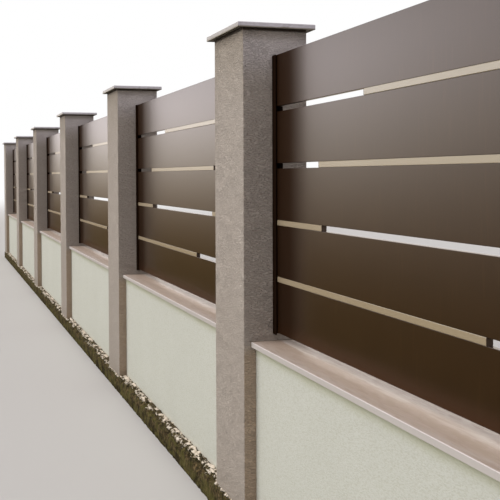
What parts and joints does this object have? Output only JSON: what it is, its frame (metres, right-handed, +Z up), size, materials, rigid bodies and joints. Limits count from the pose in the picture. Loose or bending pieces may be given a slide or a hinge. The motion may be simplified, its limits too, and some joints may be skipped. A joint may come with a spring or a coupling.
{
  "type": "aluminium board fence with rendered pillars and low wall",
  "caption": "Garden fence run in bays: rendered pillars with stone caps, low wall with stone coping, and aluminium board panels with staggered pale strips in side channels.",
  "frame": {"origin": "middle of the footing's underside, under the middle pillar", "axes": "+X along the fence, -Y towards the front, +Z up"},
  "size_m": [16.894, 0.319, 2.027],
  "materials": {
    "pillar_render": "coarse scraped render, grey beige",
    "wall_render": "fine render, pale greenish cream",
    "cap_stone": "honed pale grey stone",
    "coping_stone": "honed beige stone with long veins",
    "footing_concrete": "rough weathered concrete",
    "board_brown": "satin dark brown powder coat",
    "strip_cream": "satin cream powder coat",
    "channel_brown": "satin dark brown powder coat"
  },
  "bodies": {
    "root": {"boards_1": "board_brown", "boards_2": "board_brown", "boards_3": "board_brown", "boards_4": "board_brown", "boards_5": "board_brown", "boards_6": "board_brown", "channels_1": "channel_brown", "channels_2": "channel_brown", "channels_3": "channel_brown", "channels_4": "channel_brown", "channels_5": "channel_brown", "channels_6": "channel_brown", "coping_1": "coping_stone", "coping_2": "coping_stone", "coping_3": "coping_stone", "coping_4": "coping_stone", "coping_5": "coping_stone", "coping_6": "coping_stone", "footing": "footing_concrete", "low_wall_1": "wall_render", "low_wall_2": "wall_render", "low_wall_3": "wall_render", "low_wall_4": "wall_render", "low_wall_5": "wall_render", "low_wall_6": "wall_render", "pillar_1": "pillar_render", "pillar_2": "pillar_render", "pillar_3": "pillar_render", "pillar_4": "pillar_render", "pillar_5": "pillar_render", "pillar_6": "pillar_render", "pillar_7": "pillar_render", "pillar_cap_1": "cap_stone", "pillar_cap_2": "cap_stone", "pillar_cap_3": "cap_stone", "pillar_cap_4": "cap_stone", "pillar_cap_5": "cap_stone", "pillar_cap_6": "cap_stone", "pillar_cap_7": "cap_stone", "strips_1": "strip_cream", "strips_2": "strip_cream", "strips_3": "strip_cream", "strips_4": "strip_cream", "strips_5": "strip_cream", "strips_6": "strip_cream"}
  },
  "joints": []
}
